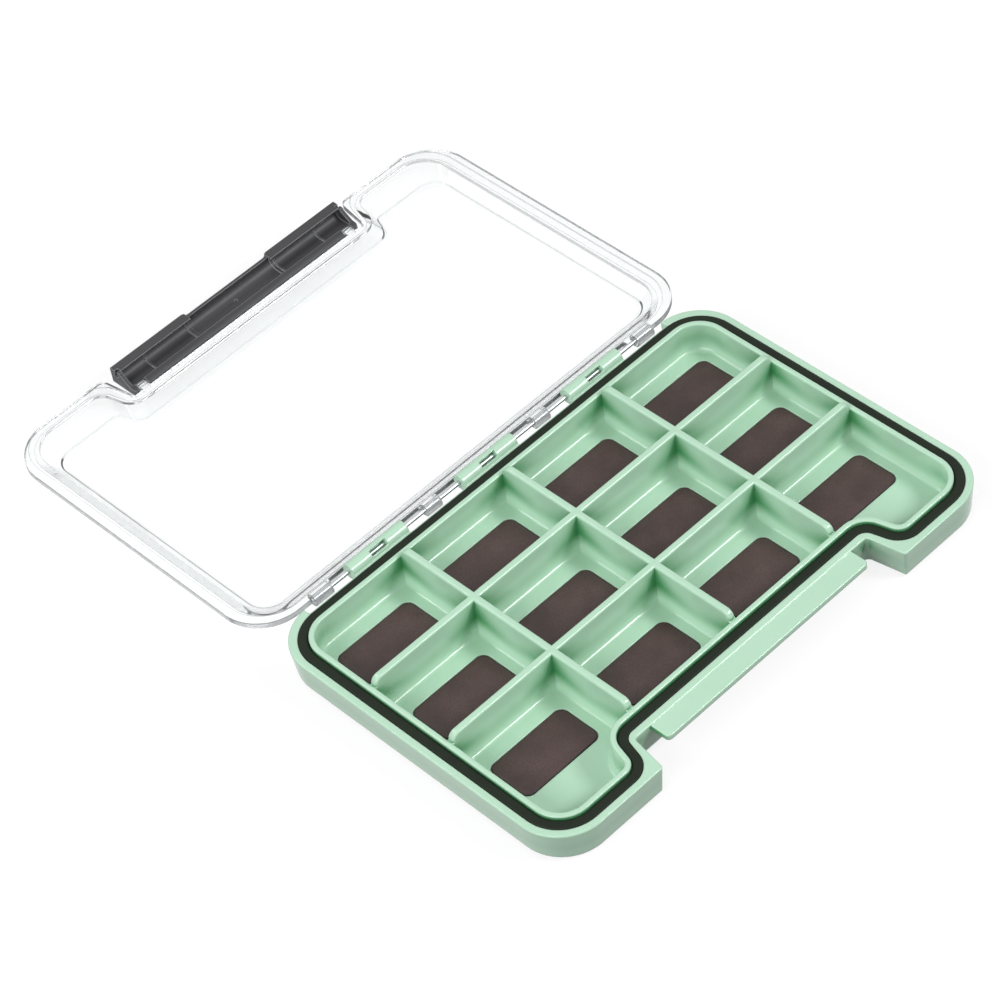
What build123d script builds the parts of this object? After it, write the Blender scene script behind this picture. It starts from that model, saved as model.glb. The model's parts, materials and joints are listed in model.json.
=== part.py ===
from build123d import *
import os

# ---------------------------------------------------------------- Driving dimensions, in mm
# Frame: X along the hinge, Y from the latch side to the hinge side, Z up, z = 0 on the underside.

# Seal line, which every other outline follows
SEAL_HALF_LENGTH = 72.0
SEAL_FRONT = -47.5
SEAL_REAR = 47.0
SEAL_CORNER = 11.1
SEAL_WIDTH = 2.74
SEAL_Z = 9.5
RECESS_Y = -36.7
RECESS_HALF = 40.6
RECESS_FLARE = 2.7

# Base tray
RIM_Z = 9.2
RIM_HALF_LENGTH = 74.0
RIM_FRONT = -49.4
RIM_REAR = 49.4
REAR_WALL_Y = 47.9
REAR_WALL_HALF = 61.5
REAR_RIM_Z = 8.3
DRAFT = 5.0
LIP_Z = 10.37
LIP_THICKNESS = 1.5
GROOVE_FLOOR_Z = 7.4
FLOOR_Z = 1.6
DIVIDER_Z = 12.68
DIVIDER_THICKNESS = 2.0
DIVIDER_END = 2.1
FOOT_RADIUS = 1.5
DIVIDER_PITCH = 34.49
DIVIDER_ROWS = (18.35, -7.56)
SHELF_HALF = 34.2
SHELF_FRONT = -44.2
SHELF_TOP = 8.9
SHELF_THICKNESS = 1.5

# Hinge
HINGE_Y = 49.9
HINGE_Z = 9.0
PIN_RADIUS = 0.6
PIN_HALF_LENGTH = 58.2
BASE_KNUCKLE_RADIUS = 2.1
BASE_KNUCKLE_WIDTH = 18.3
BASE_KNUCKLE_PITCH = 37.2
LID_KNUCKLE_RADIUS = 1.75
LID_KNUCKLES = ((-55.4, 5.6), (-18.7, 4.6), (18.7, 4.6), (55.4, 5.6))
WINDOW_LENGTH = 5.3
WINDOW_FACING = (0, -0.6, 0.8)
WINDOW_WIDTH = 1.7

# Lid, drawn closed
FLANGE_Z = 9.65
FLANGE_EDGE_Z = 9.35
FLANGE_TOP = 11.4
LID_HALF_LENGTH = 74.6
LID_FRONT = -47.7
LID_REAR = 49.1
LID_REAR_AT_KNUCKLES = 47.5
LID_RECESS_Y = -36.9
SEAL_LAND = 0.3
PANEL_HALF = 66.3
PANEL_FRONT = -37.8
PANEL_REAR = 41.1
PANEL_RECESS_Y = -31.0
WELL_INSET = 2.4
WELL_TOP = 10.55
PANEL_EDGE = 0.8
WALL = 1.1
PANEL_UNDERSIDE = 12.9
PANEL_TOP = 14.3

# Latch, drawn closed
LATCH_HALF = 39.1
LATCH_NEAR = -37.3
LATCH_FAR = -46.9
LATCH_PIVOT_Y = -38.9
LATCH_PIVOT_Z = 10.5
LATCH_PLATE_Z = 10.3
LATCH_BARREL_Z = 9.6
LATCH_WALL = 1.1
LATCH_PIN_RADIUS = 0.45
LUG_X = 35.9
LUG_WIDTH = 2.4
BEAD_TOP = 7.3
BEAD_BOTTOM = 6.7
BEAD_Y = -43.9
SCALLOP_HALF = 14.0
SCALLOP = 0.6
BARREL_DEPTH = 3.0
HOLLOW_RADIUS = 2.4
RIB_HEIGHT = 0.3

# Magnet pads
PAD_LENGTH = 24.0
PAD_WIDTH = 13.2
PAD_CORNER = 2.2
PAD_TOP = 1.74
PAD_BOTTOM = 1.12
TAPE_BOTTOM = 1.0
PAD_ROWS = (31.15, 5.25, -20.65)

HINGE_AXIS = Axis((0, HINGE_Y, HINGE_Z), (1, 0, 0))
ACROSS = Plane.YZ


# ---------------------------------------------------------------- Outlines
def rounded_face(half_corners):
    """Face through the corners of the right half and their mirror images, each with its own radius."""
    right = [(x, y, r) for x, y, r in half_corners]
    left = [(-x, y, r) for x, y, r in reversed(half_corners)]
    with BuildSketch() as face:
        with BuildLine():
            Polyline(*[(x, y) for x, y, r in right + left], close=True)
        make_face()
        for x, y, r in right + left:
            fillet(face.vertices().sort_by_distance((x, y, 0))[0], radius=r)
    return face.sketch


def seal_outline():
    """Outer edge of the seal, with the S-curves into the front recess."""
    return rounded_face([
        (RECESS_HALF, RECESS_Y, 3.0),
        (RECESS_HALF + RECESS_FLARE, SEAL_FRONT, 6.5),
        (SEAL_HALF_LENGTH, SEAL_FRONT, SEAL_CORNER),
        (SEAL_HALF_LENGTH, SEAL_REAR, SEAL_CORNER),
    ])


def rim_outline():
    """Outer edge of the base, seen from above."""
    return rounded_face([
        (39.4, RECESS_Y - 2.0, 0.8),
        (41.2, RIM_FRONT, 1.0),
        (RIM_HALF_LENGTH, RIM_FRONT, 13.0),
        (RIM_HALF_LENGTH, RIM_REAR, 13.0),
    ])


def panel_outline(grow):
    """Edge of the raised panel of the lid, larger all round by grow."""
    return rounded_face([
        (RECESS_HALF + 2.9 - 0.78 * grow, PANEL_RECESS_Y - grow, 3.5),
        (RECESS_HALF + 5.4 - 0.78 * grow, PANEL_FRONT - grow, 2.5),
        (PANEL_HALF + grow, PANEL_FRONT - grow, 6.0),
        (PANEL_HALF + grow, PANEL_REAR + grow, 6.0),
    ])


def flange_well_outline(shrink):
    """The seal outline drawn in by shrink, with its own corners, so that it lofts to the panel."""
    return rounded_face([
        (RECESS_HALF + 0.78 * shrink, RECESS_Y + shrink, 3.0 + shrink),
        (RECESS_HALF + RECESS_FLARE + 0.78 * shrink, SEAL_FRONT + shrink, 6.5 - shrink),
        (SEAL_HALF_LENGTH - shrink, SEAL_FRONT + shrink, SEAL_CORNER - shrink),
        (SEAL_HALF_LENGTH - shrink, SEAL_REAR - shrink, SEAL_CORNER - shrink),
    ])


def lid_outline():
    """Outer edge of the lid flange, seen from above with the lid closed."""
    return rounded_face([
        (40.0, LID_RECESS_Y, 0.8),
        (41.7, LID_FRONT, 2.2),
        (LID_HALF_LENGTH, LID_FRONT, 12.6),
        (LID_HALF_LENGTH, LID_REAR, 12.6),
        (51.0, LID_REAR, 0.5),
        (51.0, LID_REAR_AT_KNUCKLES, 0.5),
    ])


def swung_open(shape):
    """The closed lid's pieces, turned back half a turn about the hinge pin."""
    return shape.rotate(HINGE_AXIS, 180)


SEAL = seal_outline()
os.makedirs("parts", exist_ok=True)

# ---------------------------------------------------------------- Base tray
with BuildPart() as tray:
    # Outer body, drawn in towards the underside
    with BuildSketch(Plane.XY.offset(RIM_Z)):
        add(rim_outline())
    extrude(amount=-RIM_Z, taper=DRAFT)
    # Flat rear wall that leaves room for the hinge
    with BuildSketch():
        with Locations((0, REAR_WALL_Y + 5.0)):
            Rectangle(2 * REAR_WALL_HALF, 10.0)
    extrude(amount=RIM_Z, mode=Mode.SUBTRACT)
    fillet(tray.edges().filter_by_position(Axis.Z, -0.01, 0.01), radius=1.4)
    fillet(tray.faces().sort_by(Axis.Z)[-1].outer_wire().edges(), radius=0.4)
    # The rim drops behind the seal there, clear of the lid's knuckles
    with BuildSketch(Plane.XY.offset(REAR_RIM_Z)):
        with Locations((0, SEAL_REAR + 5.0)):
            Rectangle(2 * REAR_WALL_HALF, 10.0)
    extrude(amount=RIM_Z - REAR_RIM_Z + 1.0, mode=Mode.SUBTRACT)
    # Inner lip
    with BuildSketch(Plane.XY.offset(RIM_Z - 2.0)):
        add(SEAL)
        offset(amount=-SEAL_WIDTH)
    extrude(amount=LIP_Z - RIM_Z + 2.0)
    # Seal groove
    with BuildSketch(Plane.XY.offset(GROOVE_FLOOR_Z)):
        add(SEAL)
        offset(amount=0.03)
        with BuildSketch(mode=Mode.PRIVATE) as island:
            add(SEAL)
            offset(amount=-SEAL_WIDTH)
        add(island.sketch, mode=Mode.SUBTRACT)
    extrude(amount=4.0, mode=Mode.SUBTRACT)
    # Pocket inside the lip
    with BuildSketch(Plane.XY.offset(FLOOR_Z)):
        add(SEAL)
        offset(amount=-SEAL_WIDTH - LIP_THICKNESS)
    extrude(amount=12.0, mode=Mode.SUBTRACT)
    fillet(tray.faces().sort_by(Axis.Z)[-1].edges(), radius=0.45)
    floor = tray.faces().filter_by(Axis.Z).filter_by_position(Axis.Z, FLOOR_Z - 0.01, FLOOR_Z + 0.01)[0]
    fillet(floor.outer_wire().edges(), radius=1.5)

INNER_X = SEAL_HALF_LENGTH - SEAL_WIDTH - LIP_THICKNESS
INNER_REAR = SEAL_REAR - SEAL_WIDTH - LIP_THICKNESS
INNER_RECESS = RECESS_Y + SEAL_WIDTH + LIP_THICKNESS


def divider_profile(low, high):
    """Side view of one divider: square at the foot, rounded where it meets the lip."""
    with BuildSketch() as face:
        with BuildLine():
            Polyline(
                (low - 0.6, FLOOR_Z - 0.3),
                (high + 0.6, FLOOR_Z - 0.3),
                (high + 0.6, LIP_Z - 0.6),
                (high - 0.1, LIP_Z - 0.2),
                (high - 0.1, DIVIDER_Z),
                (low + 0.1, DIVIDER_Z),
                (low + 0.1, LIP_Z - 0.2),
                (low - 0.6, LIP_Z - 0.6),
                close=True,
            )
        make_face()
        for x in (low + 0.1, high - 0.1):
            fillet(face.vertices().sort_by_distance((x, DIVIDER_Z, 0))[0], radius=DIVIDER_END)
    return face.sketch


def divider_foot():
    """End view of one divider's foot, which flares into the floor on both sides."""
    side = DIVIDER_THICKNESS / 2
    with BuildSketch() as foot:
        with BuildLine():
            Polyline(
                (side, FLOOR_Z + FOOT_RADIUS),
                (-side, FLOOR_Z + FOOT_RADIUS),
            )
            RadiusArc((-side, FLOOR_Z + FOOT_RADIUS), (-side - FOOT_RADIUS, FLOOR_Z), FOOT_RADIUS)
            Polyline(
                (-side - FOOT_RADIUS, FLOOR_Z),
                (-side - FOOT_RADIUS, FLOOR_Z - 0.3),
                (side + FOOT_RADIUS, FLOOR_Z - 0.3),
                (side + FOOT_RADIUS, FLOOR_Z),
            )
            RadiusArc((side + FOOT_RADIUS, FLOOR_Z), (side, FLOOR_Z + FOOT_RADIUS), FOOT_RADIUS)
        make_face()
    return foot.sketch


with BuildPart() as dividers:
    for x in (-DIVIDER_PITCH, 0.0, DIVIDER_PITCH):
        with BuildSketch(Plane.YZ.offset(x)):
            add(divider_profile(INNER_RECESS, INNER_REAR))
        extrude(amount=DIVIDER_THICKNESS / 2, both=True)
    for y in DIVIDER_ROWS:
        with BuildSketch(Plane.XZ.offset(-y)):
            add(divider_profile(-INNER_X, INNER_X))
        extrude(amount=DIVIDER_THICKNESS / 2, both=True)
    # Flared feet
    with BuildSketch(Plane.XZ.offset(-(INNER_RECESS + INNER_REAR) / 2)):
        with Locations(*[(x, 0) for x in (-DIVIDER_PITCH, 0.0, DIVIDER_PITCH)]):
            add(divider_foot())
    extrude(amount=(INNER_REAR - INNER_RECESS) / 2 + 0.6, both=True)
    with BuildSketch(Plane.YZ):
        with Locations(*[(y, 0) for y in DIVIDER_ROWS]):
            add(divider_foot())
    extrude(amount=INNER_X + 0.6, both=True)
    top = dividers.faces().filter_by(Axis.Z).filter_by_position(Axis.Z, DIVIDER_Z - 0.01, DIVIDER_Z + 0.01)
    fillet(top.edges(), radius=0.6)

with BuildPart() as latch_shelf:
    with BuildSketch(Plane.XY.offset(SHELF_TOP - SHELF_THICKNESS)):
        with Locations((0, (SHELF_FRONT + RECESS_Y - 1.0) / 2)):
            Rectangle(2 * SHELF_HALF, RECESS_Y - 1.0 - SHELF_FRONT)
    extrude(amount=SHELF_THICKNESS)
    fillet(latch_shelf.edges().filter_by(Axis.Z).group_by(Axis.Y)[0], radius=1.2)
    fillet(latch_shelf.faces().sort_by(Axis.Z)[-1].edges().group_by(Axis.Y)[0], radius=0.35)

with BuildPart() as base_knuckles:
    for x in (-BASE_KNUCKLE_PITCH, 0.0, BASE_KNUCKLE_PITCH):
        with BuildSketch(Plane.YZ.offset(x)):
            with Locations((HINGE_Y, HINGE_Z)):
                Circle(BASE_KNUCKLE_RADIUS)
            with Locations(((HINGE_Y + REAR_WALL_Y - 0.6) / 2, HINGE_Z - BASE_KNUCKLE_RADIUS / 2)):
                Rectangle(HINGE_Y - REAR_WALL_Y + 0.6, BASE_KNUCKLE_RADIUS)
        extrude(amount=BASE_KNUCKLE_WIDTH / 2, both=True)

with BuildPart() as base_tray:
    add(tray.part)
    add(dividers.part)
    add(latch_shelf.part)
    add(base_knuckles.part)
    # Bore for the pin, and the window that tips inwards at the top of each knuckle
    with BuildSketch(Plane.YZ):
        with Locations((HINGE_Y, HINGE_Z)):
            Circle(PIN_RADIUS + 0.03)
    extrude(amount=PIN_HALF_LENGTH + 2.0, both=True, mode=Mode.SUBTRACT)
    with BuildSketch(Plane(origin=(0, HINGE_Y, HINGE_Z), x_dir=(1, 0, 0), z_dir=WINDOW_FACING)):
        with Locations(*[(x, 0) for x in (-BASE_KNUCKLE_PITCH, 0.0, BASE_KNUCKLE_PITCH)]):
            Rectangle(WINDOW_LENGTH, WINDOW_WIDTH)
    extrude(amount=4.0, mode=Mode.SUBTRACT)
    # Shallow seat for each magnet pad
    with BuildSketch(Plane.XY.offset(TAPE_BOTTOM)):
        with Locations(*[((c - 1.5) * DIVIDER_PITCH, y) for y in PAD_ROWS for c in range(4)]):
            RectangleRounded(PAD_LENGTH + 0.5, PAD_WIDTH + 0.5, PAD_CORNER + 0.25)
    extrude(amount=3.0, mode=Mode.SUBTRACT)
base_tray.part.label = "base_tray"
export_step(base_tray.part, "parts/base_tray.step")
print("base_tray", len(base_tray.solids()), round(base_tray.part.volume), base_tray.part.bounding_box())

# ---------------------------------------------------------------- Seal gasket
with BuildPart() as seal_gasket:
    with BuildSketch(Plane.XY.offset(GROOVE_FLOOR_Z)):
        add(SEAL)
        offset(amount=-0.02)
        with BuildSketch(mode=Mode.PRIVATE) as hollow:
            add(SEAL)
            offset(amount=-SEAL_WIDTH + 0.05)
        add(hollow.sketch, mode=Mode.SUBTRACT)
    extrude(amount=SEAL_Z - GROOVE_FLOOR_Z)
    fillet(seal_gasket.faces().sort_by(Axis.Z)[-1].edges(), radius=0.5)
seal_gasket.part.label = "seal_gasket"
export_step(seal_gasket.part, "parts/seal_gasket.step")

# ---------------------------------------------------------------- Hinge pin
with BuildPart() as hinge_pin:
    with BuildSketch(Plane.YZ):
        with Locations((HINGE_Y, HINGE_Z)):
            Circle(PIN_RADIUS)
    extrude(amount=PIN_HALF_LENGTH, both=True)
    chamfer(hinge_pin.edges(), length=0.15)
hinge_pin.part.label = "hinge_pin"
export_step(hinge_pin.part, "parts/hinge_pin.step")

# ---------------------------------------------------------------- Magnet pads and their adhesive film
# Numbered along X, then from the hinge row to the latch row
for row, pad_y in enumerate(PAD_ROWS):
    for column in range(4):
        number = 4 * row + column + 1
        pad_x = (column - 1.5) * DIVIDER_PITCH
        with BuildPart() as magnet_pad:
            with BuildSketch(Plane.XY.offset(PAD_BOTTOM)):
                with Locations((pad_x, pad_y)):
                    RectangleRounded(PAD_LENGTH, PAD_WIDTH, PAD_CORNER)
            extrude(amount=PAD_TOP - PAD_BOTTOM)
            fillet(magnet_pad.faces().sort_by(Axis.Z)[-1].edges(), radius=0.15)
        magnet_pad.part.label = f"magnet_pad_{number}"
        export_step(magnet_pad.part, f"parts/magnet_pad_{number}.step")
        with BuildPart() as tape_pad:
            with BuildSketch(Plane.XY.offset(TAPE_BOTTOM)):
                with Locations((pad_x, pad_y)):
                    RectangleRounded(PAD_LENGTH - 1.0, PAD_WIDTH - 1.0, PAD_CORNER - 0.5)
            extrude(amount=PAD_BOTTOM - TAPE_BOTTOM)
        tape_pad.part.label = f"tape_pad_{number}"
        export_step(tape_pad.part, f"parts/tape_pad_{number}.step")

# ---------------------------------------------------------------- Lid
with BuildPart() as lid_cavity:
    with BuildSketch(Plane.XY.offset(FLANGE_Z - 1.0)):
        add(flange_well_outline(WELL_INSET))
    extrude(amount=WELL_TOP - FLANGE_Z + 1.0)
    with BuildSketch(Plane.XY.offset(WELL_TOP)):
        add(flange_well_outline(WELL_INSET))
    with BuildSketch(Plane.XY.offset(PANEL_UNDERSIDE)):
        add(panel_outline(0.0))
    loft()

with BuildPart() as lid_shell:
    # Sloping wall, then a rounded edge round the raised panel
    with BuildSketch(Plane.XY.offset(FLANGE_Z)):
        add(flange_well_outline(1.0))
    with BuildSketch(Plane.XY.offset(FLANGE_TOP + 0.2)):
        add(flange_well_outline(1.0))
    with BuildSketch(Plane.XY.offset(PANEL_TOP - PANEL_EDGE)):
        add(panel_outline(WALL))
    with BuildSketch(Plane.XY.offset(PANEL_TOP - 0.3 * PANEL_EDGE)):
        add(panel_outline(WALL - 0.3 * PANEL_EDGE))
    with BuildSketch(Plane.XY.offset(PANEL_TOP)):
        add(panel_outline(WALL - PANEL_EDGE))
    loft(ruled=True)

with BuildPart() as lid:
    # Flange: its rim hangs a little lower than the land that meets the seal
    with BuildSketch(Plane.XY.offset(FLANGE_EDGE_Z)):
        add(lid_outline())
    extrude(amount=FLANGE_TOP - FLANGE_EDGE_Z)
    fillet(lid.faces().sort_by(Axis.Z)[-1].edges(), radius=0.6)
    fillet(lid.faces().sort_by(Axis.Z)[0].edges(), radius=0.3)
    with BuildSketch(Plane.XY.offset(FLANGE_EDGE_Z - 1.0)):
        add(SEAL)
        offset(amount=SEAL_LAND)
    extrude(amount=FLANGE_Z - FLANGE_EDGE_Z + 1.0, mode=Mode.SUBTRACT)
    add(lid_shell.part)
    add(lid_cavity.part, mode=Mode.SUBTRACT)
    # Hinge knuckles, each on a short web
    for x, width in LID_KNUCKLES:
        with BuildSketch(Plane.YZ.offset(x)):
            with Locations((HINGE_Y, HINGE_Z)):
                Circle(LID_KNUCKLE_RADIUS)
            with BuildLine():
                Polyline(
                    (LID_REAR_AT_KNUCKLES - 1.0, FLANGE_Z + 0.05),
                    (HINGE_Y + 0.2, FLANGE_Z + 0.05),
                    (HINGE_Y + 1.2, HINGE_Z + 0.9),
                    (HINGE_Y + 0.2, HINGE_Z + 1.5),
                    (LID_REAR_AT_KNUCKLES - 1.0, HINGE_Z + 2.1),
                    close=True,
                )
            make_face()
        extrude(amount=width / 2, both=True)
    # Lugs that carry the latch
    for x in (-LUG_X, LUG_X):
        with BuildSketch(Plane.YZ.offset(x)):
            with Locations((LATCH_PIVOT_Y, LATCH_PIVOT_Z)):
                Circle(0.9)
            with Locations(((LATCH_PIVOT_Y + LID_RECESS_Y + 0.8) / 2, LATCH_PIVOT_Z)):
                Rectangle(LID_RECESS_Y + 0.8 - LATCH_PIVOT_Y, 1.6)
        extrude(amount=LUG_WIDTH / 2, both=True)
    with BuildSketch(Plane.YZ):
        with Locations((HINGE_Y, HINGE_Z)):
            Circle(PIN_RADIUS + 0.08)
    extrude(amount=PIN_HALF_LENGTH + 2.0, both=True, mode=Mode.SUBTRACT)
    with BuildSketch(Plane.YZ):
        with Locations((LATCH_PIVOT_Y, LATCH_PIVOT_Z)):
            Circle(LATCH_PIN_RADIUS + 0.03)
    extrude(amount=LUG_X + LUG_WIDTH, both=True, mode=Mode.SUBTRACT)
open_lid = swung_open(lid.part)
open_lid.label = "lid"
export_step(open_lid, "parts/lid.step")
print("lid", len(lid.solids()), round(lid.part.volume), open_lid.bounding_box())

# ---------------------------------------------------------------- Latch
HOLLOW_END = LATCH_FAR + SCALLOP + LATCH_WALL


def hollow_bend(deeper):
    """Concave face between the latch's plate and its front wall, as an arc and its two ends."""
    plate = (HOLLOW_END + HOLLOW_RADIUS, LATCH_PLATE_Z + deeper)
    wall = (HOLLOW_END - deeper, LATCH_PLATE_Z - HOLLOW_RADIUS)
    return plate, wall, HOLLOW_RADIUS + deeper


with BuildPart() as latch:
    # Block, with a shallow finger scallop along the middle of its free edge
    with BuildSketch(Plane.XY.offset(BEAD_BOTTOM)):
        with BuildLine():
            Polyline(
                (-LATCH_HALF, LATCH_NEAR),
                (-LATCH_HALF, LATCH_FAR),
                (-SCALLOP_HALF - 0.8, LATCH_FAR),
                (-SCALLOP_HALF + 0.8, LATCH_FAR + SCALLOP),
                (SCALLOP_HALF - 0.8, LATCH_FAR + SCALLOP),
                (SCALLOP_HALF + 0.8, LATCH_FAR),
                (LATCH_HALF, LATCH_FAR),
                (LATCH_HALF, LATCH_NEAR),
                close=True,
            )
        make_face()
    extrude(amount=FLANGE_TOP - BEAD_BOTTOM)
    fillet(latch.edges().filter_by(Axis.Z).group_by(Axis.Y)[-1], radius=1.5)
    # Hollow over the shelf, from the barrel to the front wall
    with BuildSketch(Plane.YZ.offset(-LATCH_HALF + LATCH_WALL)):
        with BuildLine():
            plate, wall, radius = hollow_bend(0.0)
            Polyline(
                wall,
                (HOLLOW_END, BEAD_TOP),
                (BEAD_Y, BEAD_TOP),
                (BEAD_Y, BEAD_BOTTOM - 1.0),
                (LATCH_NEAR - BARREL_DEPTH + 0.5, BEAD_BOTTOM - 1.0),
                (LATCH_NEAR - BARREL_DEPTH + 0.5, LATCH_BARREL_Z),
                (LATCH_NEAR - BARREL_DEPTH, LATCH_PLATE_Z),
                plate,
            )
            RadiusArc(plate, wall, -radius)
        make_face()
    extrude(amount=2 * (LATCH_HALF - LATCH_WALL), mode=Mode.SUBTRACT)
    # No bead behind the scallop
    with BuildSketch(Plane.XY.offset(BEAD_BOTTOM - 1.0)):
        with Locations((0, BEAD_Y - 0.5)):
            Rectangle(2 * SCALLOP_HALF, 5.4)
    extrude(amount=BEAD_TOP - BEAD_BOTTOM + 1.0, mode=Mode.SUBTRACT)
    # Underside of the barrel and of the end walls, rounded off towards the pivot
    with BuildSketch(Plane.YZ):
        with BuildLine():
            Polyline(
                (LATCH_NEAR + 1.0, BEAD_BOTTOM - 1.0),
                (LATCH_NEAR + 1.0, LATCH_PIVOT_Z + 0.25),
                (LATCH_NEAR - 0.15, LATCH_PIVOT_Z + 0.1),
                (LATCH_NEAR - 0.55, LATCH_BARREL_Z + 0.35),
                (LATCH_NEAR - 1.1, LATCH_BARREL_Z),
                (LATCH_NEAR - 2.6, LATCH_BARREL_Z - 0.25),
                (LATCH_NEAR - 5.6, BEAD_BOTTOM + 0.7),
                (LATCH_NEAR - 6.4, BEAD_BOTTOM - 1.0),
                close=True,
            )
        make_face()
    extrude(amount=LATCH_HALF + 1.0, both=True, mode=Mode.SUBTRACT)
    # Ribs across the inner face, which follow its bend
    for x in (-29.6, -15.4, 15.4, 29.6):
        with BuildSketch(Plane.YZ.offset(x)):
            with BuildLine():
                plate, wall, radius = hollow_bend(0.1)
                RadiusArc(plate, wall, -radius)
                near_plate, near_wall, near_radius = hollow_bend(-RIB_HEIGHT)
                Polyline(wall, near_wall)
                RadiusArc(near_wall, near_plate, near_radius)
                Polyline(
                    near_plate,
                    (LATCH_NEAR - BARREL_DEPTH, LATCH_PLATE_Z - RIB_HEIGHT),
                    (LATCH_NEAR - BARREL_DEPTH, LATCH_PLATE_Z + 0.1),
                    plate,
                )
            make_face()
        extrude(amount=0.25, both=True)
    # Shallow panel between the middle ribs, and the moulding dimple
    with BuildSketch(Plane.YZ):
        with BuildLine():
            plate, wall, radius = hollow_bend(0.2)
            RadiusArc(plate, wall, -radius)
            Polyline(
                wall,
                (wall[0], BEAD_TOP),
                (LATCH_NEAR - BARREL_DEPTH - 0.4, BEAD_TOP),
                (LATCH_NEAR - BARREL_DEPTH - 0.4, LATCH_PLATE_Z + 0.2),
                plate,
            )
        make_face()
    extrude(amount=SCALLOP_HALF + 0.3, both=True, mode=Mode.SUBTRACT)
    with BuildSketch(Plane.XY.offset(LATCH_PLATE_Z)):
        with Locations((0, -42.9)):
            Circle(0.5)
    extrude(amount=0.6, mode=Mode.SUBTRACT)
    # Notch at each end of the front wall
    with BuildSketch(Plane.XY.offset(BEAD_BOTTOM - 1.0)):
        with Locations((-LATCH_HALF, HOLLOW_END + 0.5), (LATCH_HALF, HOLLOW_END + 0.5)):
            Rectangle(2 * LATCH_WALL, 1.0)
    extrude(amount=3.0, mode=Mode.SUBTRACT)
    # Windows for the lid's lugs
    with BuildSketch(Plane.XY.offset(LATCH_BARREL_Z - 1.0)):
        with Locations((-LUG_X, LATCH_NEAR - 1.4), (LUG_X, LATCH_NEAR - 1.4)):
            Rectangle(LUG_WIDTH + 0.7, 3.0)
    extrude(amount=4.0, mode=Mode.SUBTRACT)
    with BuildSketch(Plane.YZ):
        with Locations((LATCH_PIVOT_Y, LATCH_PIVOT_Z)):
            Circle(LATCH_PIN_RADIUS + 0.02)
    extrude(amount=LATCH_HALF + 1.0, both=True, mode=Mode.SUBTRACT)
open_latch = swung_open(latch.part)
open_latch.label = "latch"
export_step(open_latch, "parts/latch.step")
print("latch", len(latch.solids()), round(latch.part.volume), open_latch.bounding_box())

# ---------------------------------------------------------------- Latch pins
for side, name in ((-1, "left"), (1, "right")):
    with BuildPart() as latch_pin:
        with BuildSketch(Plane.YZ.offset(side * LUG_X)):
            with Locations((LATCH_PIVOT_Y, LATCH_PIVOT_Z)):
                Circle(LATCH_PIN_RADIUS)
        extrude(amount=2.9, both=True)
    open_pin = swung_open(latch_pin.part)
    open_pin.label = f"latch_pin_{name}"
    export_step(open_pin, f"parts/latch_pin_{name}.step")
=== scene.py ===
"""Fly box: a shallow mint tray with a seal, a clear lid on a steel pin, and a latch bar.

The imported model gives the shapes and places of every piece. This script gives each piece its
finish and sets up the studio.
"""

import json
import logging
import math
from dataclasses import dataclass, field, replace
from enum import Enum

import bpy
import bmesh
from mathutils import Matrix, Vector

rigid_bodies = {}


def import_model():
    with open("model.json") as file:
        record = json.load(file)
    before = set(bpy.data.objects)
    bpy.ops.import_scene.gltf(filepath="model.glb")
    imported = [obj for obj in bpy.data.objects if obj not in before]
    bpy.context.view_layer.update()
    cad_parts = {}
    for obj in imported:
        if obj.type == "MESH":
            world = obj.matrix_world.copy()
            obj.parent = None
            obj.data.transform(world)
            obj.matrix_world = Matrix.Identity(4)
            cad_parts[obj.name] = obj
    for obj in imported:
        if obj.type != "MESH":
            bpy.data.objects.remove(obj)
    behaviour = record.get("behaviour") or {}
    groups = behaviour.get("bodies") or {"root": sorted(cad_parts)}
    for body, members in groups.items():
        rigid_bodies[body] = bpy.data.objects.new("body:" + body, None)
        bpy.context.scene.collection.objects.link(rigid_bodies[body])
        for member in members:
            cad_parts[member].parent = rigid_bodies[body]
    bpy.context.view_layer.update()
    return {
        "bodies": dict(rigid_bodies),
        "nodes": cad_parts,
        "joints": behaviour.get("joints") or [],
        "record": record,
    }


LOG = logging.getLogger("fly_box")
MM = 0.001
# Nearly all of a noise pattern lies between these
NOISE_MIDDLE = (0.3, 0.7)
# Rays per point that look for edges and for inside corners
EDGE_RAYS = 6
CORNER_RAYS = 12
# Distance between the bands of a wave texture of scale 1
WAVE_PERIOD = math.pi / 10

Colour = tuple[float, float, float, float]
Span = tuple[float, float]
Point = tuple[float, float, float]


def linear(code: str) -> Colour:
    """Turns an sRGB hex colour into the linear colour that shaders use.

    Args:
        code: Six hex digits, with or without a leading hash.

    Returns:
        Red, green, blue and alpha, linear.
    """
    digits = code.lstrip("#")
    parts = [int(digits[i:i + 2], 16) / 255 for i in (0, 2, 4)]
    red, green, blue = [v / 12.92 if v <= 0.04045 else ((v + 0.055) / 1.055) ** 2.4 for v in parts]
    return (red, green, blue, 1.0)


def grey(value: float) -> Colour:
    """Gives a linear grey as a colour."""
    return (value, value, value, 1.0)


def per_mm(size: float) -> float:
    """Gives the texture scale, in object space, at which one feature is size millimetres across."""
    return 1.0 / (size * MM)


def mapped(source: Span, result: Span = (0.0, 1.0)) -> dict[str, float]:
    """Gives the settings with which a Map Range turns source's two ends into result's."""
    return {"From Min": source[0], "From Max": source[1], "To Min": result[0], "To Max": result[1]}


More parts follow.
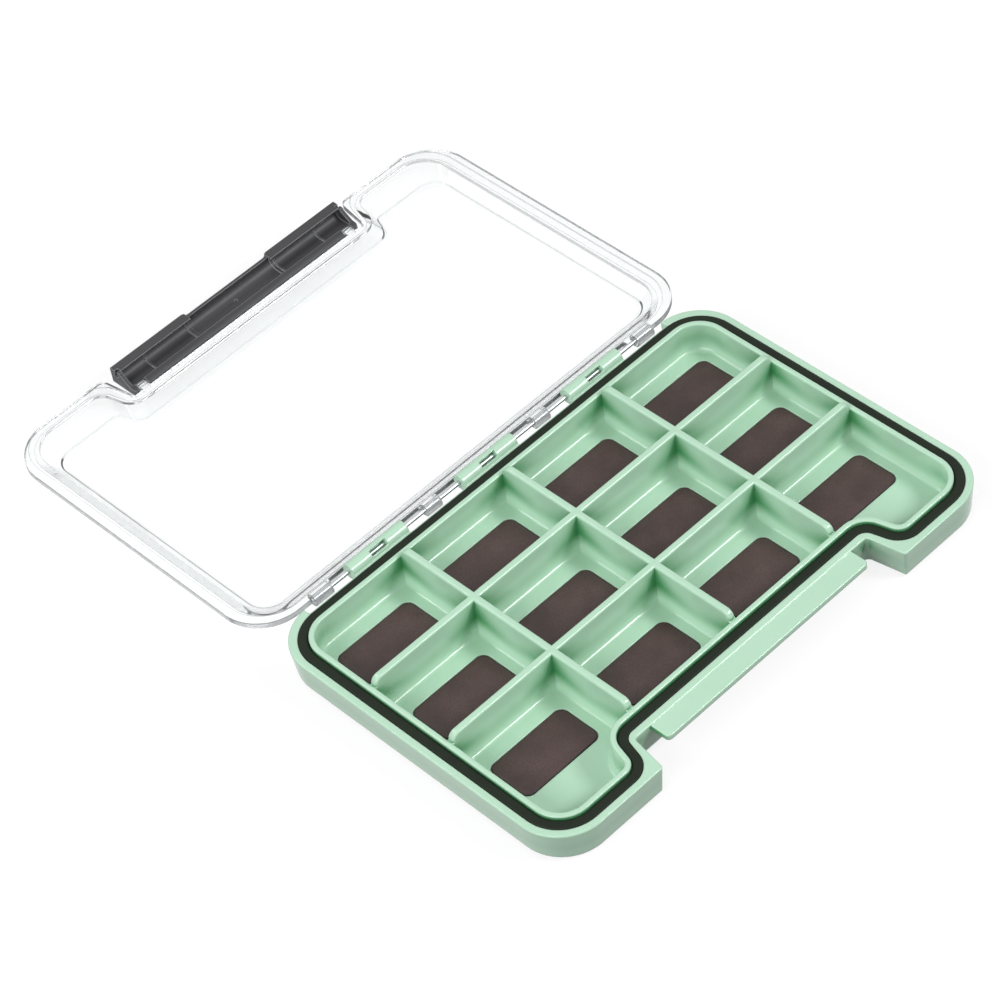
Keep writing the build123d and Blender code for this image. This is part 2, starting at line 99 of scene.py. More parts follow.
def add_node(
    tree: bpy.types.NodeTree, kind: str, settings: dict | None = None, links: dict | None = None
) -> bpy.types.Node:
    """Adds a node with its settings and links.

    Args:
        tree: The node tree that gets it.
        kind: The node's type name.
        settings: Values by property name, or by input name or number.
        links: Output sockets by the input name or number that they feed.

    Returns:
        The new node.
    """
    node = tree.nodes.new(kind)
    for name, value in (settings or {}).items():
        if isinstance(name, int) or name in node.inputs:
            node.inputs[name].default_value = value
        else:
            setattr(node, name, value)
    for name, socket in (links or {}).items():
        tree.links.new(socket, node.inputs[name])
    return node


def two_tone(
    tree: bpy.types.NodeTree, pattern: bpy.types.NodeSocket, between: Span, tones: tuple[Colour, Colour]
) -> bpy.types.NodeSocket:
    """Runs a pattern from one tone to another.

    Args:
        tree: The material's tree.
        pattern: The pattern's value.
        between: Values at which the first tone ends and the second is full.
        tones: The two linear colours.

    Returns:
        The colour.
    """
    ramp = add_node(tree, "ShaderNodeValToRGB", links={"Fac": pattern})
    for stop, position, tone in zip(ramp.color_ramp.elements, between, tones):
        stop.position = position
        stop.color = tone
    return ramp.outputs["Color"]


def edge_share(
    tree: bpy.types.NodeTree, rounding: float, turn: Span, share: Span
) -> tuple[bpy.types.NodeSocket, bpy.types.NodeSocket]:
    """Finds the edges, where a small rounding would turn the normal.

    Args:
        tree: The material's tree.
        rounding: The rounding's radius, in mm.
        turn: Cosines of the turn between which an edge comes up.
        share: The share of edge at those two.

    Returns:
        The share of edge, and the rounded normal.
    """
    rounded = add_node(tree, "ShaderNodeBevel", {"Radius": rounding * MM, "samples": EDGE_RAYS})
    face = add_node(tree, "ShaderNodeNewGeometry")
    turned = add_node(
        tree,
        "ShaderNodeVectorMath",
        {"operation": "DOT_PRODUCT"},
        {0: rounded.outputs["Normal"], 1: face.outputs["Normal"]},
    )
    edge = add_node(tree, "ShaderNodeMapRange", mapped(turn, share), {"Value": turned.outputs["Value"]})
    return edge.outputs["Result"], rounded.outputs["Normal"]


def seen_share(tree: bpy.types.NodeTree, ray: bpy.types.Node) -> bpy.types.NodeSocket:
    """Picks the rays that the studio is seen by: straight, mirrored, or through the lid.

    Args:
        tree: The tree of the floor's material or of the world.
        ray: Its Light Path node.

    Returns:
        One for those rays and zero for the rest.
    """
    share = ray.outputs["Is Camera Ray"]
    for kind in ("Is Glossy Ray", "Is Transmission Ray"):
        share = add_node(
            tree, "ShaderNodeMath", {"operation": "MAXIMUM"}, {0: share, 1: ray.outputs[kind]}
        ).outputs["Value"]
    return share


class SurfaceWay(Enum):
    """How a surface was made, in the words that end its material's name."""

    POLISHED_MOULD = "polished_mould"
    SPARK_ERODED_MOULD = "spark_eroded_mould"
    MOULDED = "moulded"
    DRAWN_WIRE = "drawn_wire"
    CALENDERED = "calendered"
    DIE_CUT = "die_cut"
    UNCOATED = "matt"


@dataclass(frozen=True)
class Finish:
    """A surface finish: the real material, and how its surface was made.

    Attributes:
        stuff: Common name of the material.
        way: How its surface was made.
    """

    stuff: str
    way: SurfaceWay

    @property
    def title(self) -> str:
        """The Blender material's name."""
        return f"{self.stuff}_{self.way.value}"

    def start(self) -> tuple[bpy.types.Material, bpy.types.NodeTree, bpy.types.NodeSocket]:
        """Makes an empty node material.

        Returns:
            The material, its tree and the object coordinates.
        """
        material = bpy.data.materials.new(self.title)
        material.use_nodes = True
        tree = material.node_tree
        tree.nodes.clear()
        place = add_node(tree, "ShaderNodeTexCoord").outputs["Object"]
        return material, tree, place

    def make(self) -> bpy.types.Material:
        """Builds the material; each finish has its own."""
        raise NotImplementedError


@dataclass(frozen=True)
class PaintedCornerShade:
    """Painted shade: a deeper green laid into upright inside corners, in place of the light that corners
    lose and the green that light picks up from wall to wall.

    Attributes:
        colour: The deeper colour.
        reach: How far away a wall is still felt, in mm.
        openness: Share of open space at which the colour starts, and at which it is full.
        foot: Heights between which it comes up, above the flared foot, in mm.
        lean: Upward part of the normal at which a face starts to be a wall, and at which it is one.
        cells: Places along Y between which it comes up, clear of the hinge knuckles, in mm.
    """

    colour: str
    reach: float = 11.0
    openness: Span = (0.86, 0.44)
    foot: Span = (2.5, 7.0)
    lean: Span = (0.6, 0.2)
    cells: Span = (46.0, 44.0)

    def lay(
        self, tree: bpy.types.NodeTree, place: bpy.types.NodeSocket, body: bpy.types.NodeSocket
    ) -> bpy.types.NodeSocket:
        """Lays the painted corner shade over the body colour.

        Args:
            tree: The material's tree.
            place: Object coordinates.
            body: The body colour so far.

        Returns:
            The body colour with painted shade in the corners.
        """
        near = add_node(
            tree, "ShaderNodeAmbientOcclusion", {"Distance": self.reach * MM, "samples": CORNER_RAYS}
        )
        where = add_node(tree, "ShaderNodeSeparateXYZ", links={"Vector": place})
        normal = add_node(tree, "ShaderNodeNewGeometry").outputs["Normal"]
        facing = add_node(tree, "ShaderNodeSeparateXYZ", links={"Vector": normal})
        smooth = {"interpolation_type": "SMOOTHSTEP"}
        foot = (self.foot[0] * MM, self.foot[1] * MM)
        cells = (self.cells[0] * MM, self.cells[1] * MM)
        masks = [
            add_node(tree, "ShaderNodeMapRange", settings, {"Value": value}).outputs["Result"]
            for value, settings in (
                (near.outputs["AO"], smooth | mapped(self.openness)),
                (where.outputs["Z"], smooth | mapped(foot)),
                (facing.outputs["Z"], mapped(self.lean)),
                (where.outputs["Y"], mapped(cells)),
            )
        ]
        share = masks[0]
        for mask in masks[1:]:
            share = add_node(
                tree, "ShaderNodeMath", {"operation": "MULTIPLY"}, {0: share, 1: mask}
            ).outputs["Value"]
        return add_node(
            tree,
            "ShaderNodeMix",
            {"data_type": "RGBA", 7: linear(self.colour)},
            {0: share, 6: body},
        ).outputs[2]


@dataclass(frozen=True)
class MouldedPlastic(Finish):
    """Opaque coloured plastic, injection moulded.

    Attributes:
        colour: Body colour.
        shade: Slightly deeper colour of the flow patches.
        edge: Paler colour painted on the edges as a highlight.
        roughness: Lowest and highest roughness.
        glow: Share of light that scatters under the skin.
        grain: Size of the surface grain, in mm.
        bump: Height of the grain, in mm.
        corner: Painted shade in upright inside corners, or none.
        flow: Size of the patches that melt flow leaves, in mm.
        handled: Size of the patches that handling leaves in the gloss, in mm.
        rounding: Radius of the edges that get the painted highlight, in mm.
    """

    colour: str
    shade: str
    edge: str
    roughness: Span
    glow: float
    grain: float
    bump: float
    corner: PaintedCornerShade | None = None
    flow: float = 25.0
    handled: float = 6.0
    rounding: float = 0.35

    def make(self) -> bpy.types.Material:
        """Builds the material."""
        material, tree, place = self.start()
        # Melt flow leaves broad, faint patches
        flow = add_node(
            tree, "ShaderNodeTexNoise", {"Scale": per_mm(self.flow), "Detail": 3.0}, {"Vector": place}
        )
        tones = (linear(self.shade), linear(self.colour))
        body = two_tone(tree, flow.outputs["Fac"], NOISE_MIDDLE, tones)
        # Painted highlight: the edges are a touch paler, as if they caught the light
        edge_highlight, rounded = edge_share(tree, self.rounding, turn=(0.995, 0.80), share=(0.0, 0.7))
        body = add_node(
            tree,
            "ShaderNodeMix",
            {"data_type": "RGBA", 7: linear(self.edge)},
            {0: edge_highlight, 6: body},
        ).outputs[2]
        # Painted shade: a deeper green in the upright inside corners, where the finish has it
        if self.corner:
            body = self.corner.lay(tree, place, body)
        # Handling leaves the gloss uneven
        haze = add_node(
            tree, "ShaderNodeTexNoise", {"Scale": per_mm(self.handled), "Detail": 4.0}, {"Vector": place}
        )
        gloss = add_node(
            tree,
            "ShaderNodeMapRange",
            mapped(NOISE_MIDDLE, self.roughness),
            {"Value": haze.outputs["Fac"]},
        )
        grain = add_node(
            tree, "ShaderNodeTexNoise", {"Scale": per_mm(self.grain), "Detail": 2.0}, {"Vector": place}
        )
        relief = add_node(
            tree,
            "ShaderNodeBump",
            {"Strength": 0.6, "Distance": self.bump * MM},
            {"Height": grain.outputs["Fac"], "Normal": rounded},
        )
        skin = add_node(
            tree,
            "ShaderNodeBsdfPrincipled",
            {
                "IOR": 1.49,
                "Subsurface Weight": self.glow,
                "Subsurface Radius": (0.8, 1.0, 0.8),
                "Subsurface Scale": 1.5 * MM,
            },
            {"Base Color": body, "Roughness": gloss.outputs["Result"], "Normal": relief.outputs["Normal"]},
        )
        add_node(tree, "ShaderNodeOutputMaterial", links={"Surface": skin.outputs["BSDF"]})
        return material


@dataclass(frozen=True)
class ClearPlastic(Finish):
    """Clear plastic, injection moulded in a polished mould.

    Attributes:
        tint: Faint body tint.
        ior: Index of refraction.
        roughness: Lowest and highest roughness.
        shadow: Colour that lamps keep after passing through.
        depth: Colour that long paths inside the plastic turn to.
        density: How fast they do, per metre.
        edge: Grey painted on the rounded edges, steep walls and hinge edge, in place of the darker
            surroundings they refract.
        haze: Greatest share of that grey.
        wall_grey: Share of it on steep walls.
        hinge_grey: Share of it on the hinge edge.
        hinge_grey_end: Place along Y where the hinge-edge grey ends, on the open lid, in mm.
        hinge_grey_fade: Distance over which it fades out, in mm.
        lean: Upright part of the normal at which a face starts to be steep, and at which it is.
        handled: Size of the patches that handling leaves in the gloss, in mm.
        patchy: Values of that pattern at which the roughness is lowest and highest.
        wave: Size of the shallow waves that cooling leaves, in mm.
        rounding: Radius of the edges, in mm.
    """

    tint: str
    ior: float
    roughness: Span
    shadow: str
    depth: str
    density: float
    edge: str
    haze: float
    wall_grey: float
    hinge_grey: float
    hinge_grey_end: float
    hinge_grey_fade: float = 1.0
    lean: Span = (0.95, 0.6)
    handled: float = 9.0
    patchy: Span = (0.35, 0.75)
    wave: float = 14.0
    rounding: float = 0.4

    def painted_grey_share(self, tree: bpy.types.NodeTree, place: bpy.types.NodeSocket) -> bpy.types.NodeSocket:
        """Finds how much painted grey the surface gets, in place of refracted darker surroundings: edges,
        steep walls and the hinge edge.

        Args:
            tree: The material's tree.
            place: Object coordinates.

        Returns:
            The share.
        """
        painted_edge_share, _ = edge_share(tree, self.rounding, turn=(0.99, 0.80), share=(0.0, self.haze))
        normal = add_node(tree, "ShaderNodeNewGeometry").outputs["Normal"]
        facing = add_node(tree, "ShaderNodeSeparateXYZ", links={"Vector": normal})
        level = add_node(tree, "ShaderNodeMath", {"operation": "ABSOLUTE"}, {0: facing.outputs["Z"]})
        steep = add_node(
            tree, "ShaderNodeMapRange", mapped(self.lean), {"Value": level.outputs["Value"]}
        )
        along = add_node(tree, "ShaderNodeSeparateXYZ", links={"Vector": place})
        grey_by_place = add_node(
            tree,
            "ShaderNodeMapRange",
            mapped(((self.hinge_grey_end + self.hinge_grey_fade) * MM, self.hinge_grey_end * MM), (self.wall_grey, self.hinge_grey)),
            {"Value": along.outputs["Y"]},
        )
        walls = add_node(
            tree,
            "ShaderNodeMath",
            {"operation": "MULTIPLY"},
            {0: steep.outputs["Result"], 1: grey_by_place.outputs["Result"]},
        )
        return add_node(
            tree, "ShaderNodeMath", {"operation": "MAXIMUM"}, {0: painted_edge_share, 1: walls.outputs["Value"]}
        ).outputs["Value"]

    def make(self) -> bpy.types.Material:
        """Builds the material."""
        material, tree, place = self.start()
        # Handling leaves a fine haze
        haze = add_node(
            tree, "ShaderNodeTexNoise", {"Scale": per_mm(self.handled), "Detail": 5.0}, {"Vector": place}
        )
        gloss = add_node(
            tree,
            "ShaderNodeMapRange",
            mapped(self.patchy, self.roughness),
            {"Value": haze.outputs["Fac"]},
        )
        # Cooling leaves long, shallow waves
        wave = add_node(
            tree, "ShaderNodeTexNoise", {"Scale": per_mm(self.wave), "Detail": 1.0}, {"Vector": place}
        )
        relief = add_node(
            tree,
            "ShaderNodeBump",
            {"Strength": 0.15, "Distance": 0.05 * MM},
            {"Height": wave.outputs["Fac"]},
        )
        # Painted shade: a flat grey on edges and walls, in place of the darker surroundings that they
        # would refract
        painted_grey = add_node(tree, "ShaderNodeBsdfDiffuse", {"Color": linear(self.edge)})
        glass = add_node(
            tree,
            "ShaderNodeBsdfPrincipled",
            {"Base Color": linear(self.tint), "IOR": self.ior, "Transmission Weight": 1.0},
            {"Roughness": gloss.outputs["Result"], "Normal": relief.outputs["Normal"]},
        )
        body = add_node(
            tree,
            "ShaderNodeMixShader",
            links={
                0: self.painted_grey_share(tree, place),
                1: glass.outputs["BSDF"],
                2: painted_grey.outputs["BSDF"],
            },
        )
        # Lamps pass through thin clear plastic nearly unchanged
        passing = add_node(tree, "ShaderNodeBsdfTransparent", {"Color": linear(self.shadow)})
        ray = add_node(tree, "ShaderNodeLightPath")
        both = add_node(
            tree,
            "ShaderNodeMixShader",
            links={0: ray.outputs["Is Shadow Ray"], 1: body.outputs["Shader"], 2: passing.outputs["BSDF"]},
        )
        # Light that runs along inside a wall comes out grey at the wall's edges
        deep = add_node(
            tree, "ShaderNodeVolumeAbsorption", {"Color": linear(self.depth), "Density": self.density}
        )
        add_node(
            tree,
            "ShaderNodeOutputMaterial",
            links={"Surface": both.outputs["Shader"], "Volume": deep.outputs["Volume"]},
        )
        return material


@dataclass(frozen=True)
class DrawnSteel(Finish):
    """Stainless steel wire, drawn through a die.

    Attributes:
        colour: Metal colour.
        streak: Colour of the darker draw lines.
        roughness: Lowest and highest roughness.
        spacing: Spacing of the draw lines, in mm.
    """

    colour: str
    streak: str
    roughness: Span
    spacing: float

    def make(self) -> bpy.types.Material:
        """Builds the material."""
        material, tree, place = self.start()
        # Draw lines run along the pin, so the pattern is stretched along X
        along = add_node(
            tree, "ShaderNodeMapping", {"Scale": (0.02, 1.0, 1.0)}, {"Vector": place}
        ).outputs["Vector"]
        lines = add_node(
            tree, "ShaderNodeTexNoise", {"Scale": per_mm(self.spacing), "Detail": 3.0}, {"Vector": along}
        )
        tones = (linear(self.streak), linear(self.colour))
        body = two_tone(tree, lines.outputs["Fac"], between=(0.35, 0.65), tones=tones)
        gloss = add_node(
            tree,
            "ShaderNodeMapRange",
            mapped(NOISE_MIDDLE, self.roughness),
            {"Value": lines.outputs["Fac"]},
        )
        relief = add_node(
            tree,
            "ShaderNodeBump",
            {"Strength": 0.25, "Distance": 0.01 * MM},
            {"Height": lines.outputs["Fac"]},
        )
        metal = add_node(
            tree,
            "ShaderNodeBsdfPrincipled",
            {"Metallic": 1.0},
            {"Base Color": body, "Roughness": gloss.outputs["Result"], "Normal": relief.outputs["Normal"]},
        )
        add_node(tree, "ShaderNodeOutputMaterial", links={"Surface": metal.outputs["BSDF"]})
        return material


@dataclass(frozen=True)
class FilledRubber(Finish):
    """Rubber with a filler: a moulded seal, a calendered magnet sheet, or a die-cut film.

    Attributes:
        colour: Body colour.
        fleck: Colour of the filler that shows at the skin.
        edge: Darker colour painted on the edge, as shade from the gap round it.
        roughness: Lowest and highest roughness.
        grain: Size of the filler grain, in mm.
        bump: Height of the grain, in mm.
        shine: Strength of the skin's reflection, where 0.5 is that of bare rubber.
        roller: Spacing of the faint roller lines, in mm, or none.
        cloud: Size of the patches that the filler gathers in, in mm.
        rounding: Width of the edge that gets the painted shade, in mm.
    """

    colour: str
    fleck: str
    edge: str
    roughness: Span
    grain: float
    bump: float
    shine: float = 0.5
    roller: float = 0.0
    cloud: float = 9.0
    rounding: float = 0.45

    def make(self) -> bpy.types.Material:
        """Builds the material."""
        material, tree, place = self.start()
        dust = add_node(
            tree, "ShaderNodeTexNoise", {"Scale": per_mm(self.grain), "Detail": 4.0}, {"Vector": place}
        )
        cloud = add_node(
            tree, "ShaderNodeTexNoise", {"Scale": per_mm(self.cloud), "Detail": 3.0}, {"Vector": place}
        )
        filler = add_node(
            tree,
            "ShaderNodeMath",
            {"operation": "MULTIPLY"},
            {0: dust.outputs["Fac"], 1: cloud.outputs["Fac"]},
        )
        tones = (linear(self.colour), linear(self.fleck))
        body = two_tone(tree, filler.outputs["Value"], between=(0.15, 0.45), tones=tones)
        # Painted shade: the edge is darker, in place of the shadow gap round the piece
        painted_edge_share, rounded = edge_share(tree, self.rounding, turn=(0.998, 0.93), share=(0.0, 1.0))
        body = add_node(
            tree,
            "ShaderNodeMix",
            {"data_type": "RGBA", 7: linear(self.edge)},
            {0: painted_edge_share, 6: body},
        ).outputs[2]
        gloss = add_node(
            tree,
            "ShaderNodeMapRange",
            mapped(NOISE_MIDDLE, self.roughness),
            {"Value": cloud.outputs["Fac"]},
        )
        height = dust.outputs["Fac"]
        if self.roller:
            # The calender's rolls leave fine parallel lines
            lines = add_node(
                tree,
                "ShaderNodeTexWave",
                {
                    "bands_direction": "Y",
                    "Scale": WAVE_PERIOD * per_mm(self.roller),
                    "Distortion": 1.5,
                    "Detail": 2.0,
                },
                {"Vector": place},
            )
            height = add_node(
                tree,
                "ShaderNodeMath",
                {"operation": "MULTIPLY_ADD", 1: 0.35},
                {0: lines.outputs["Fac"], 2: dust.outputs["Fac"]},
            ).outputs["Value"]
        relief = add_node(
            tree,
            "ShaderNodeBump",
            {"Strength": 0.7, "Distance": self.bump * MM},
            {"Height": height, "Normal": rounded},
        )
        skin = add_node(
            tree,
            "ShaderNodeBsdfPrincipled",
            {"IOR": 1.42, "Specular IOR Level": self.shine},
            {"Base Color": body, "Roughness": gloss.outputs["Result"], "Normal": relief.outputs["Normal"]},
        )
        add_node(tree, "ShaderNodeOutputMaterial", links={"Surface": skin.outputs["BSDF"]})
        return material


@dataclass(frozen=True)
class SweepPaper(Finish):
    """Plain paper for the studio floor, which looks white and keeps a soft shadow.

    Attributes:
        fibre: Size of the paper's fibre, in mm.
        tones: Greys of the fibre.
        bounce: Grey that the paper sends back up; it is low, so that side walls keep their shade.
        glow: Brightness of the white that is seen.
        share: Share of that white; the rest is the lit paper with its shadow.
    """

    fibre: float
    tones: Span
    bounce: float
    glow: float
    share: float

    def make(self) -> bpy.types.Material:
        """Builds the material."""
        material, tree, place = self.start()
        fibre = add_node(
            tree, "ShaderNodeTexNoise", {"Scale": per_mm(self.fibre), "Detail": 4.0}, {"Vector": place}
        )
        tones = (grey(self.tones[0]), grey(self.tones[1]))
        body = two_tone(tree, fibre.outputs["Fac"], NOISE_MIDDLE, tones)
        ray = add_node(tree, "ShaderNodeLightPath")
        bounced = add_node(
            tree,
            "ShaderNodeMix",
            {"data_type": "RGBA", 7: grey(self.bounce)},
            {0: ray.outputs["Is Diffuse Ray"], 6: body},
        )
        paper = add_node(tree, "ShaderNodeBsdfDiffuse", links={"Color": bounced.outputs[2]})
        glow = add_node(tree, "ShaderNodeEmission", {"Color": grey(1.0), "Strength": self.glow})
        share = add_node(
            tree, "ShaderNodeMath", {"operation": "MULTIPLY", 1: self.share}, {0: seen_share(tree, ray)}
        )
        both = add_node(
            tree,
            "ShaderNodeMixShader",
            links={0: share.outputs["Value"], 1: paper.outputs["BSDF"], 2: glow.outputs["Emission"]},
        )
        add_node(tree, "ShaderNodeOutputMaterial", links={"Surface": both.outputs["Shader"]})
        return material


# Polypropylene copolymer in mint, from a polished mould: an even, waxy gloss; its pale edges are painted
# highlight, its deep corners painted shade
TRAY_PLASTIC = MouldedPlastic(
    "polypropylene_mint",
    SurfaceWay.POLISHED_MOULD,
    colour="#BADEC5",
    shade="#B6DBC1",
    edge="#CCE8D3",
    roughness=(0.15, 0.21),
    glow=0.15,
    grain=0.9,
    bump=0.003,
    corner=PaintedCornerShade("#45955C"),
)
# ABS in near black, from a spark-eroded mould: a dull, even sheen that greys where it faces the light;
# pale edges are painted highlight
LATCH_PLASTIC = MouldedPlastic(
    "abs_charcoal",
    SurfaceWay.SPARK_ERODED_MOULD,
    colour="#38383A",
    shade="#333335",
    edge="#B4B4B6",
    roughness=(0.46, 0.5),
    glow=0.0,
    grain=0.35,
    bump=0.02,
)
# Clear styrene copolymer from a polished mould: nearly unseen flat on; its grey lines where a wall turns
# are partly absorption, partly painted shade
LID_PLASTIC = ClearPlastic(
    "styrene_clear",
    SurfaceWay.POLISHED_MOULD,
    tint="#FAFCFC",
    ior=1.5,
    roughness=(0.0, 0.03),
    shadow="#F4F6F6",
    depth="#8A8C8E",
    density=34.0,
    edge="#A8AAAC",
    haze=0.55,
    wall_grey=0.18,
    hinge_grey=0.5,
    hinge_grey_end=53.0,
)
# Stainless steel wire, drawn: bright down its middle between two dark sides
PIN_STEEL = DrawnSteel(
    "stainless_steel",
    SurfaceWay.DRAWN_WIRE,
    colour="#D5D8DA",
    streak="#B4B8BC",
    roughness=(0.3, 0.42),
    spacing=0.12,
)
# Silicone rubber, moulded cord: soft black green with a faint bloom, and painted shade along its edges
SEAL_RUBBER = FilledRubber(
    "silicone_rubber_black",
    SurfaceWay.MOULDED,
    colour="#141C12",
    fleck="#1E281B",
    edge="#0A0E09",
    roughness=(0.5, 0.65),
    grain=0.5,
    bump=0.01,
    shine=0.25,
)
# Ferrite-filled rubber sheet, calendered: flat brown black with roller lines and dust, and painted shade
# round its edge
MAGNET_SHEET = FilledRubber(
    "ferrite_rubber_sheet",
    SurfaceWay.CALENDERED,
    colour="#402F2E",
    fleck="#5A4847",
    edge="#080606",
    roughness=(0.4, 0.55),
    grain=0.3,
    bump=0.008,
    roller=1.6,
)
# Acrylic foam film, die cut: dull black, seen only round the pad's edge, which gets painted shade
TAPE_FILM = FilledRubber(
    "acrylic_foam_film",
    SurfaceWay.DIE_CUT,
    colour="#141414",
    fleck="#26262A",
    edge="#0C0C0C",
    roughness=(0.6, 0.75),
    grain=0.2,
    bump=0.01,
)
# Uncoated paper: white, with fibre too faint to read as a pattern
FLOOR_PAPER = SweepPaper(
    "paper_white",
    SurfaceWay.UNCOATED,
    fibre=2.0,
    tones=(0.95, 0.98),
    bounce=0.04,
    glow=1.04,
    share=0.8,
)


@dataclass
class Dresser:
    """Makes each finish once and puts it on pieces.

    Attributes:
        frame: The loaded frame.
        made: Materials by title.
    """

    frame: dict
    made: dict[str, bpy.types.Material] = field(default_factory=dict)

    def material(self, finish: Finish) -> bpy.types.Material:
        """Gives the finish's material, made on first use."""
        if finish.title not in self.made:
            self.made[finish.title] = finish.make()
        return self.made[finish.title]

    def dress(self, node: str, finish: Finish) -> None:
        """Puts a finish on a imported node.

        Args:
            node: The node's name.
            finish: The finish it gets.
        """
        piece = self.frame["nodes"][node]
        if not piece.material_slots:
            piece.data.materials.append(None)
        for place in piece.material_slots:
            place.link = "OBJECT"
            place.material = self.material(finish)
        LOG.info("%s: %s", node, finish.title)


@dataclass
class Tray:
    """The base: tray, seal, and the magnet pads on their adhesive film.

    Attributes:
        pads: Number of magnet pads, one in each compartment.
    """

    pads: int = 12

    def dress(self, dresser: Dresser) -> None:
        """Gives the tray's pieces their finishes."""
        dresser.dress("base_tray", TRAY_PLASTIC)
        dresser.dress("seal_gasket", SEAL_RUBBER)
        for number in range(1, self.pads + 1):
            dresser.dress(f"magnet_pad_{number}", MAGNET_SHEET)
            dresser.dress(f"tape_pad_{number}", TAPE_FILM)


@dataclass
class Lid:
    """The clear lid and the steel pin it turns on."""

    def dress(self, dresser: Dresser) -> None:
        """Gives the lid's pieces their finishes."""
        dresser.dress("lid", LID_PLASTIC)
        dresser.dress("hinge_pin", PIN_STEEL)


@dataclass
class Latch:
    """The latch bar and its two pins.

    Attributes:
        sides: The ends of the bar that have a pin.
    """

    sides: tuple[str, str] = ("left", "right")

    def dress(self, dresser: Dresser) -> None:
        """Gives the latch's pieces their finishes."""
        dresser.dress("latch", LATCH_PLASTIC)
        for side in self.sides:
            dresser.dress(f"latch_pin_{side}", PIN_STEEL)


class Receivers(Enum):
    """Which pieces a lamp lights, given one piece."""

    ONLY_IT = "INCLUDE"
    ALL_BUT_IT = "EXCLUDE"


@dataclass(frozen=True)
class Lamp:
    """A soft rectangular lamp.

    Attributes:
        name: The lamp's name.
        place: Where it hangs, in metres.
        size: Its width and height, in metres.
        watts: Its power.
        mirrored: Whether glossy surfaces show it.
        aim: The point that it faces, near the middle of the open box, in metres.
    """

    name: str
    place: Point
    size: tuple[float, float]
    watts: float
    mirrored: bool = True
    aim: Point = (0.0, 0.04, 0.0)

    def hang(self) -> bpy.types.Object:
        """Adds the lamp to the scene and gives its object."""
        data = bpy.data.lights.new(self.name, "AREA")
        data.shape = "RECTANGLE"
        data.size, data.size_y = self.size
        data.energy = self.watts
        lamp = bpy.data.objects.new(self.name, data)
        bpy.context.scene.collection.objects.link(lamp)
        lamp.visible_glossy = self.mirrored
        lamp.location = self.place
        towards = Vector(self.aim) - Vector(self.place)
        lamp.rotation_euler = towards.to_track_quat("-Z", "Y").to_euler()
        return lamp

    def hang_for(self, piece: bpy.types.Object, receivers: Receivers) -> None:
        """Adds the lamp to the scene, for some pieces only.

        Args:
            piece: The piece that the choice is about.
            receivers: Which pieces the lamp lights.
        """
        lit = bpy.data.collections.new(f"{self.name}_lit")
        lit.objects.link(piece)
        lit.collection_objects[0].light_linking.link_state = receivers.value
        lamp = self.hang()
        lamp.light_linking.receiver_collection = lit


OVERHEAD = Lamp("overhead", (-0.16, 0.61, 0.87), (0.25, 0.25), 1.5)
FRONT = Lamp("front", (0.52, -0.735, 0.83), (0.3, 0.3), 7.5)
# The lid has this one in place of FRONT, which the closed lid would mirror as a white slab
FRONT_LID = replace(FRONT, name="front_lid", mirrored=False)
SIDE = Lamp("side", (-0.85, -0.1, 0.6), (0.8, 0.6), 6.6)


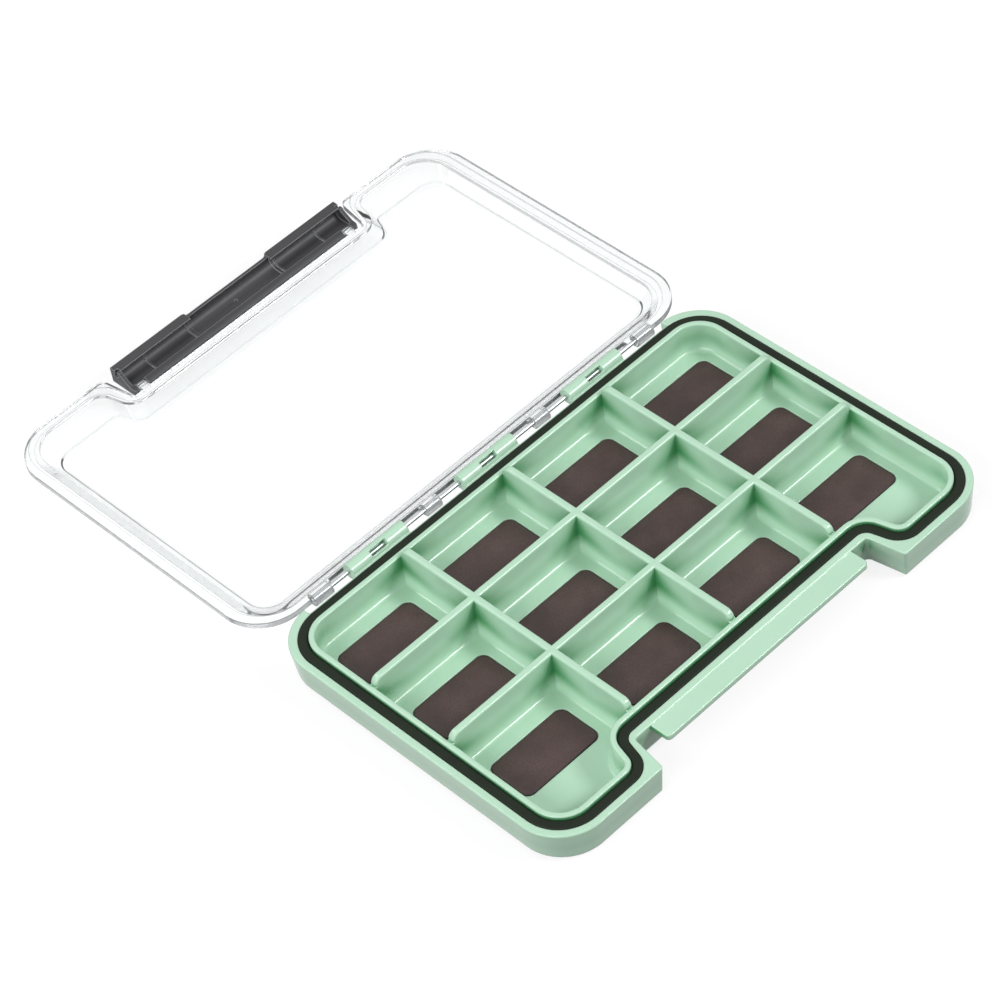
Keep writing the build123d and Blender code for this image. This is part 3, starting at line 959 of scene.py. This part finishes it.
@dataclass
class Studio:
    """Floor, light and camera.

    Attributes:
        azimuth: Camera's heading, in degrees from +Y towards +X.
        elevation: Angle that the camera looks down, in degrees.
        roll: Camera's roll, in degrees.
        lens: Focal length, in mm.
        sensor: Width of the sensor, in mm.
        distance: From the camera to the point it looks at, in mm.
        target: The point it looks at, in mm.
        near: Nearest distance that the camera shows, in metres.
        far: Farthest distance that the camera shows, in metres.
        fill: Strength of the even light from all round.
        floor_half: Half the floor's side, in metres.
        floor_drop: How far the floor lies below the box, in mm, so that the two faces don't meet.
    """

    azimuth: float = 37.399
    elevation: float = 46.687
    roll: float = -10.036
    lens: float = 132.63
    sensor: float = 36.0
    distance: float = 890.06
    target: Point = (-7.235, 37.357, 9.5)
    near: float = 0.01
    far: float = 50.0
    fill: float = 0.3
    floor_half: float = 6.0
    floor_drop: float = 0.4

    def camera(self) -> None:
        """Places the camera."""
        turn, tip, roll = (math.radians(a) for a in (self.azimuth, self.elevation, self.roll))
        ahead = Vector((math.sin(turn) * math.cos(tip), math.cos(turn) * math.cos(tip), -math.sin(tip)))
        right = ahead.cross(Vector((0, 0, 1))).normalized()
        up = right.cross(ahead)
        across = math.cos(roll) * right + math.sin(roll) * up
        above = math.cos(roll) * up - math.sin(roll) * right
        data = bpy.data.cameras.new("camera")
        data.lens = self.lens
        data.sensor_width = self.sensor
        data.clip_start = self.near
        data.clip_end = self.far
        camera = bpy.data.objects.new("camera", data)
        bpy.context.scene.collection.objects.link(camera)
        place = (Vector(self.target) - self.distance * ahead) * MM
        turned = Matrix((across, above, -ahead)).transposed().to_4x4()
        camera.matrix_world = Matrix.Translation(place) @ turned
        bpy.context.scene.camera = camera

    def world(self) -> None:
        """Fills the studio with even light, white where it is looked at."""
        world = bpy.data.worlds.new("studio")
        world.use_nodes = True
        tree = world.node_tree
        tree.nodes.clear()
        ray = add_node(tree, "ShaderNodeLightPath")
        fill = add_node(tree, "ShaderNodeBackground", {"Color": grey(1.0), "Strength": self.fill})
        white = add_node(tree, "ShaderNodeBackground", {"Color": grey(1.0), "Strength": 1.0})
        both = add_node(
            tree,
            "ShaderNodeMixShader",
            links={
                0: seen_share(tree, ray),
                1: fill.outputs["Background"],
                2: white.outputs["Background"],
            },
        )
        add_node(tree, "ShaderNodeOutputWorld", links={"Surface": both.outputs["Shader"]})
        bpy.context.scene.world = world

    def lamps(self, lid: bpy.types.Object) -> None:
        """Hangs the lamps.

        Args:
            lid: The clear lid, which has a front lamp of its own.
        """
        OVERHEAD.hang()
        FRONT.hang_for(lid, Receivers.ALL_BUT_IT)
        FRONT_LID.hang_for(lid, Receivers.ONLY_IT)
        SIDE.hang()

    def floor(self) -> None:
        """Lays a plain white floor that keeps a soft shadow."""
        mesh = bpy.data.meshes.new("floor")
        shape = bmesh.new()
        bmesh.ops.create_grid(shape, x_segments=4, y_segments=4, size=self.floor_half)
        shape.to_mesh(mesh)
        shape.free()
        floor = bpy.data.objects.new("floor", mesh)
        bpy.context.scene.collection.objects.link(floor)
        floor.location = (0, 0, -self.floor_drop * MM)
        mesh.materials.append(FLOOR_PAPER.make())

    def build(self, lid: bpy.types.Object) -> None:
        """Sets up the whole studio.

        Args:
            lid: The clear lid, which has a front lamp of its own.
        """
        self.camera()
        self.world()
        self.lamps(lid)
        self.floor()
        bpy.context.scene.view_settings.view_transform = "Standard"


def main() -> None:
    """Builds the studio and dresses every piece, in order."""
    logging.basicConfig(level=logging.INFO, format="%(name)s %(message)s")
    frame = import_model()
    dresser = Dresser(frame)
    Studio().build(frame["nodes"]["lid"])
    for assembly in (Tray(), Lid(), Latch()):
        assembly.dress(dresser)


if __name__ == "__main__":
    main()
